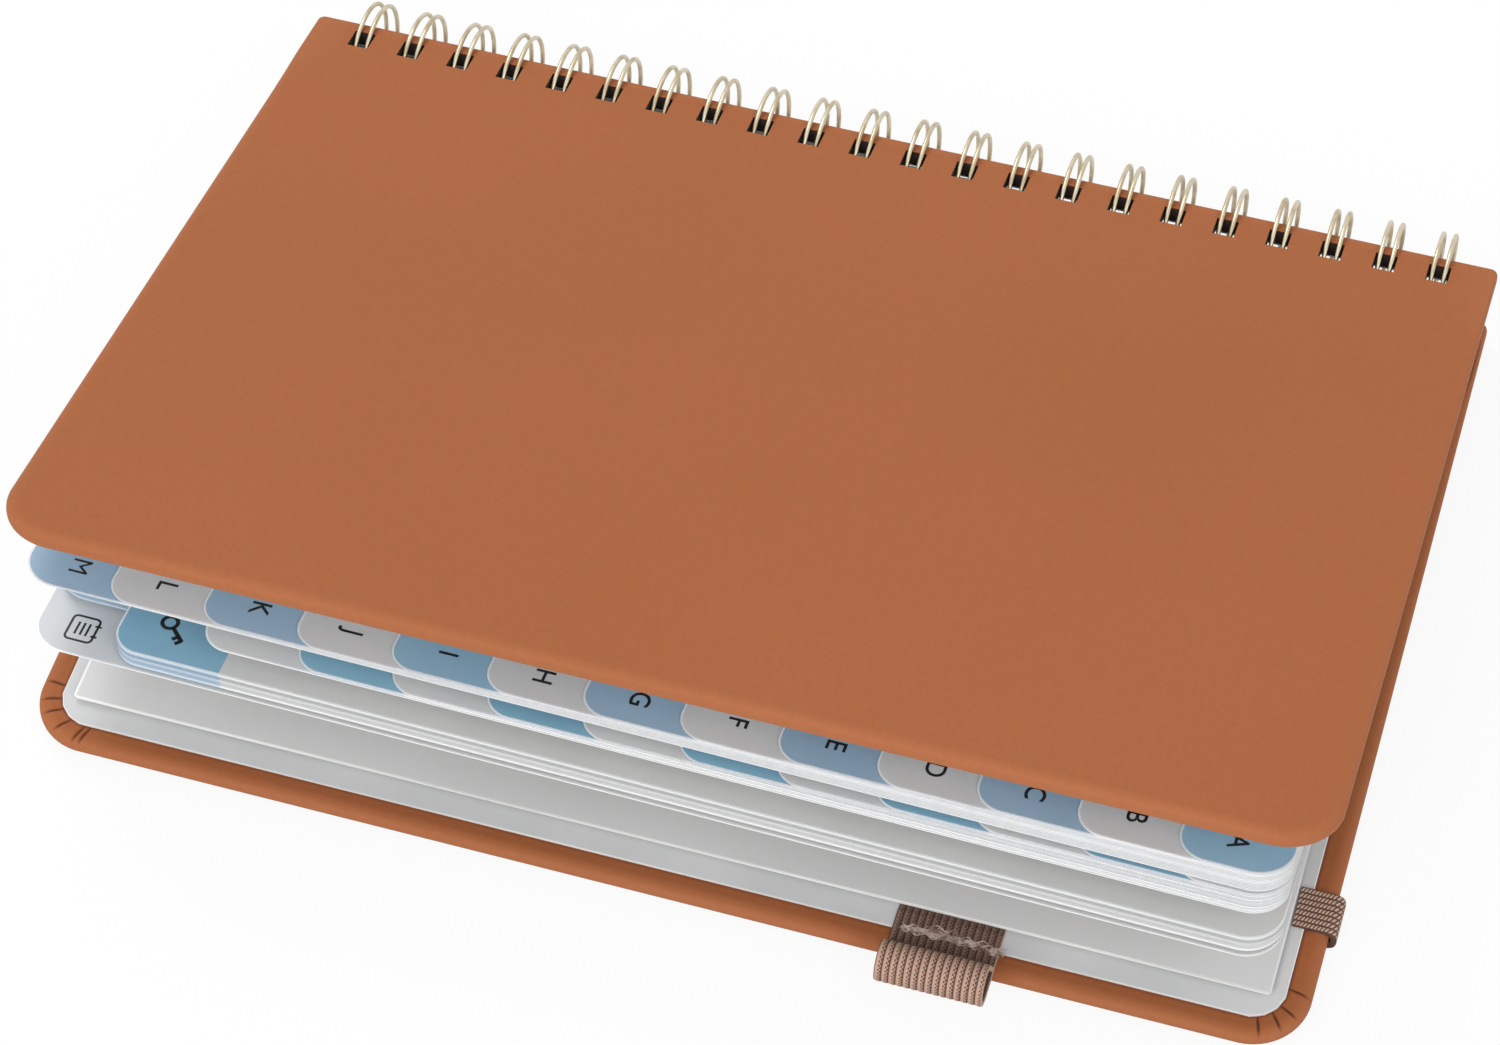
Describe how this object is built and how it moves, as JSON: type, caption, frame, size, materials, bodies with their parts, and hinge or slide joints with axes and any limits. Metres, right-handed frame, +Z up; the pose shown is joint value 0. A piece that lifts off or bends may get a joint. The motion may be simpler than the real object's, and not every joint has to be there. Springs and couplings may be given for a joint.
{
  "type": "address book",
  "caption": "Twin-loop wire-bound address book with leather-covered boards, step-cut index tabs, an inside pocket, an elastic closure and a pen loop.",
  "frame": {"origin": "middle of the book's box at rest, on the plane that the lowest wire loops touch", "axes": "+X along the wire spine towards the head of the book, +Y towards the wire spine with the fore-edge facing -Y, +Z up through the covers"},
  "size_m": [0.198, 0.1508, 0.0505],
  "materials": {
    "leather": "matte grained",
    "board": "raw grey board",
    "lining": "matte paper",
    "tab_blue": "laminated paper",
    "tab_grey": "laminated paper",
    "paper": "uncoated paper",
    "elastic": "woven elastic",
    "wire": "antique brass"
  },
  "bodies": {
    "back_cover": {"back_leather": "leather", "back_board": "board", "back_lining": "lining", "elastic_band": "elastic", "pen_loop": "elastic", "pocket_glue_strip": "lining", "binding_wire": "wire"},
    "front_cover": {"front_leather": "leather", "front_board": "board", "front_lining": "lining"},
    "pocket": {"pocket_panel": "lining", "pocket_gusset_left": "lining", "pocket_gusset_right": "lining"},
    "section_a": {"leaf_a": "tab_blue"},
    "section_b": {"leaf_b": "tab_grey"},
    "section_c": {"leaf_c": "tab_blue"},
    "section_d": {"leaf_d": "tab_grey"},
    "section_e": {"leaf_e": "tab_blue"},
    "section_f": {"leaf_f": "tab_grey"},
    "section_g": {"leaf_g": "tab_blue"},
    "section_h": {"leaf_h": "tab_grey"},
    "section_i": {"leaf_i": "tab_blue"},
    "section_j": {"leaf_j": "tab_grey"},
    "section_k": {"leaf_k": "tab_blue"},
    "section_l": {"leaf_l": "tab_grey"},
    "section_m": {"leaf_m": "tab_blue"},
    "section_n": {"leaf_n": "tab_grey"},
    "section_o": {"leaf_o": "tab_blue"},
    "section_p": {"leaf_p": "tab_grey"},
    "section_q": {"leaf_q": "tab_blue"},
    "section_r": {"leaf_r": "tab_grey"},
    "section_s": {"leaf_s": "tab_blue"},
    "section_t": {"leaf_t": "tab_grey"},
    "section_u": {"leaf_u": "tab_blue"},
    "section_v": {"leaf_v": "tab_grey"},
    "section_w": {"leaf_w": "tab_blue"},
    "section_xyz": {"leaf_xyz": "tab_grey"},
    "section_key": {"leaf_key": "tab_blue"},
    "pages_upper": {"pages_upper": "paper"},
    "pages_lower": {"pages_lower": "paper"},
    "section_notes": {"leaf_notes": "tab_grey"}
  },
  "joints": [
    {"name": "front_cover_hinge", "type": "hinge", "parent": "back_cover", "child": "front_cover", "pos_m": [0, 0.06653, 0.00887], "axis": [-1, 0, 0], "range_deg": [-15, 165]},
    {"name": "section_a_turn", "type": "hinge", "parent": "back_cover", "child": "section_a", "pos_m": [0, 0.06653, 0.00887], "axis": [-1, 0, 0], "range_deg": [-12.36, 135.86]},
    {"name": "section_b_turn", "type": "hinge", "parent": "back_cover", "child": "section_b", "pos_m": [0, 0.06653, 0.00887], "axis": [-1, 0, 0], "range_deg": [-12.34, 135.59]},
    {"name": "section_c_turn", "type": "hinge", "parent": "back_cover", "child": "section_c", "pos_m": [0, 0.06653, 0.00887], "axis": [-1, 0, 0], "range_deg": [-12.31, 135.31]},
    {"name": "section_d_turn", "type": "hinge", "parent": "back_cover", "child": "section_d", "pos_m": [0, 0.06653, 0.00887], "axis": [-1, 0, 0], "range_deg": [-12.29, 135.03]},
    {"name": "section_e_turn", "type": "hinge", "parent": "back_cover", "child": "section_e", "pos_m": [0, 0.06653, 0.00887], "axis": [-1, 0, 0], "range_deg": [-12.26, 134.76]},
    {"name": "section_f_turn", "type": "hinge", "parent": "back_cover", "child": "section_f", "pos_m": [0, 0.06653, 0.00887], "axis": [-1, 0, 0], "range_deg": [-12.23, 134.49]},
    {"name": "section_g_turn", "type": "hinge", "parent": "back_cover", "child": "section_g", "pos_m": [0, 0.06653, 0.00887], "axis": [-1, 0, 0], "range_deg": [-12.21, 134.21]},
    {"name": "section_h_turn", "type": "hinge", "parent": "back_cover", "child": "section_h", "pos_m": [0, 0.06653, 0.00887], "axis": [-1, 0, 0], "range_deg": [-12.19, 133.94]},
    {"name": "section_i_turn", "type": "hinge", "parent": "back_cover", "child": "section_i", "pos_m": [0, 0.06653, 0.00887], "axis": [-1, 0, 0], "range_deg": [-12.16, 133.66]},
    {"name": "section_j_turn", "type": "hinge", "parent": "back_cover", "child": "section_j", "pos_m": [0, 0.06653, 0.00887], "axis": [-1, 0, 0], "range_deg": [-12.13, 133.38]},
    {"name": "section_k_turn", "type": "hinge", "parent": "back_cover", "child": "section_k", "pos_m": [0, 0.06653, 0.00887], "axis": [-1, 0, 0], "range_deg": [-12.11, 133.11]},
    {"name": "section_l_turn", "type": "hinge", "parent": "back_cover", "child": "section_l", "pos_m": [0, 0.06653, 0.00887], "axis": [-1, 0, 0], "range_deg": [-12.09, 132.84]},
    {"name": "section_m_turn", "type": "hinge", "parent": "back_cover", "child": "section_m", "pos_m": [0, 0.06653, 0.00887], "axis": [-1, 0, 0], "range_deg": [-12.06, 132.56]},
    {"name": "section_n_turn", "type": "hinge", "parent": "back_cover", "child": "section_n", "pos_m": [0, 0.06653, 0.00887], "axis": [-1, 0, 0], "range_deg": [-11.81, 129.81]},
    {"name": "section_o_turn", "type": "hinge", "parent": "back_cover", "child": "section_o", "pos_m": [0, 0.06653, 0.00887], "axis": [-1, 0, 0], "range_deg": [-11.76, 129.21]},
    {"name": "section_p_turn", "type": "hinge", "parent": "back_cover", "child": "section_p", "pos_m": [0, 0.06653, 0.00887], "axis": [-1, 0, 0], "range_deg": [-11.7, 128.6]},
    {"name": "section_q_turn", "type": "hinge", "parent": "back_cover", "child": "section_q", "pos_m": [0, 0.06653, 0.00887], "axis": [-1, 0, 0], "range_deg": [-11.64, 128]},
    {"name": "section_r_turn", "type": "hinge", "parent": "back_cover", "child": "section_r", "pos_m": [0, 0.06653, 0.00887], "axis": [-1, 0, 0], "range_deg": [-11.59, 127.39]},
    {"name": "section_s_turn", "type": "hinge", "parent": "back_cover", "child": "section_s", "pos_m": [0, 0.06653, 0.00887], "axis": [-1, 0, 0], "range_deg": [-11.54, 126.78]},
    {"name": "section_t_turn", "type": "hinge", "parent": "back_cover", "child": "section_t", "pos_m": [0, 0.06653, 0.00887], "axis": [-1, 0, 0], "range_deg": [-11.48, 126.18]},
    {"name": "section_u_turn", "type": "hinge", "parent": "back_cover", "child": "section_u", "pos_m": [0, 0.06653, 0.00887], "axis": [-1, 0, 0], "range_deg": [-11.43, 125.58]},
    {"name": "section_v_turn", "type": "hinge", "parent": "back_cover", "child": "section_v", "pos_m": [0, 0.06653, 0.00887], "axis": [-1, 0, 0], "range_deg": [-11.37, 124.97]},
    {"name": "section_w_turn", "type": "hinge", "parent": "back_cover", "child": "section_w", "pos_m": [0, 0.06653, 0.00887], "axis": [-1, 0, 0], "range_deg": [-11.31, 124.37]},
    {"name": "section_xyz_turn", "type": "hinge", "parent": "back_cover", "child": "section_xyz", "pos_m": [0, 0.06653, 0.00887], "axis": [-1, 0, 0], "range_deg": [-11.26, 123.76]},
    {"name": "section_key_turn", "type": "hinge", "parent": "back_cover", "child": "section_key", "pos_m": [0, 0.06653, 0.00887], "axis": [-1, 0, 0], "range_deg": [-8.91, 97.91]},
    {"name": "pages_upper_turn", "type": "hinge", "parent": "back_cover", "child": "pages_upper", "pos_m": [0, 0.06653, 0.00887], "axis": [-1, 0, 0], "range_deg": [-8.61, 94.61]},
    {"name": "pages_lower_turn", "type": "hinge", "parent": "back_cover", "child": "pages_lower", "pos_m": [0, 0.06653, 0.00887], "axis": [-1, 0, 0], "range_deg": [-8.31, 91.31]},
    {"name": "section_notes_turn", "type": "hinge", "parent": "back_cover", "child": "section_notes", "pos_m": [0, 0.06653, 0.00887], "axis": [-1, 0, 0], "range_deg": [-7.91, 86.91]},
    {"name": "pocket_lift", "type": "hinge", "parent": "back_cover", "child": "pocket", "pos_m": [0, 0.0495, 0.00456], "axis": [-1, 0, 0], "range_deg": [-0.31, 3.31]}
  ],
  "couplings": [
    {"joint": "section_a_turn", "follows": "front_cover_hinge", "ratio": 0.82333},
    {"joint": "section_b_turn", "follows": "front_cover_hinge", "ratio": 0.82167},
    {"joint": "section_c_turn", "follows": "front_cover_hinge", "ratio": 0.82},
    {"joint": "section_d_turn", "follows": "front_cover_hinge", "ratio": 0.81833},
    {"joint": "section_e_turn", "follows": "front_cover_hinge", "ratio": 0.81667},
    {"joint": "section_f_turn", "follows": "front_cover_hinge", "ratio": 0.815},
    {"joint": "section_g_turn", "follows": "front_cover_hinge", "ratio": 0.81333},
    {"joint": "section_h_turn", "follows": "front_cover_hinge", "ratio": 0.81167},
    {"joint": "section_i_turn", "follows": "front_cover_hinge", "ratio": 0.81},
    {"joint": "section_j_turn", "follows": "front_cover_hinge", "ratio": 0.80833},
    {"joint": "section_k_turn", "follows": "front_cover_hinge", "ratio": 0.80667},
    {"joint": "section_l_turn", "follows": "front_cover_hinge", "ratio": 0.805},
    {"joint": "section_m_turn", "follows": "front_cover_hinge", "ratio": 0.80333},
    {"joint": "section_n_turn", "follows": "front_cover_hinge", "ratio": 0.78667},
    {"joint": "section_o_turn", "follows": "front_cover_hinge", "ratio": 0.783},
    {"joint": "section_p_turn", "follows": "front_cover_hinge", "ratio": 0.77933},
    {"joint": "section_q_turn", "follows": "front_cover_hinge", "ratio": 0.77567},
    {"joint": "section_r_turn", "follows": "front_cover_hinge", "ratio": 0.772},
    {"joint": "section_s_turn", "follows": "front_cover_hinge", "ratio": 0.76833},
    {"joint": "section_t_turn", "follows": "front_cover_hinge", "ratio": 0.76467},
    {"joint": "section_u_turn", "follows": "front_cover_hinge", "ratio": 0.761},
    {"joint": "section_v_turn", "follows": "front_cover_hinge", "ratio": 0.75733},
    {"joint": "section_w_turn", "follows": "front_cover_hinge", "ratio": 0.75367},
    {"joint": "section_xyz_turn", "follows": "front_cover_hinge", "ratio": 0.75},
    {"joint": "section_key_turn", "follows": "front_cover_hinge", "ratio": 0.59333},
    {"joint": "pages_upper_turn", "follows": "front_cover_hinge", "ratio": 0.57333},
    {"joint": "pages_lower_turn", "follows": "front_cover_hinge", "ratio": 0.55333},
    {"joint": "section_notes_turn", "follows": "front_cover_hinge", "ratio": 0.52667},
    {"joint": "pocket_lift", "follows": "front_cover_hinge", "ratio": 0.02}
  ]
}
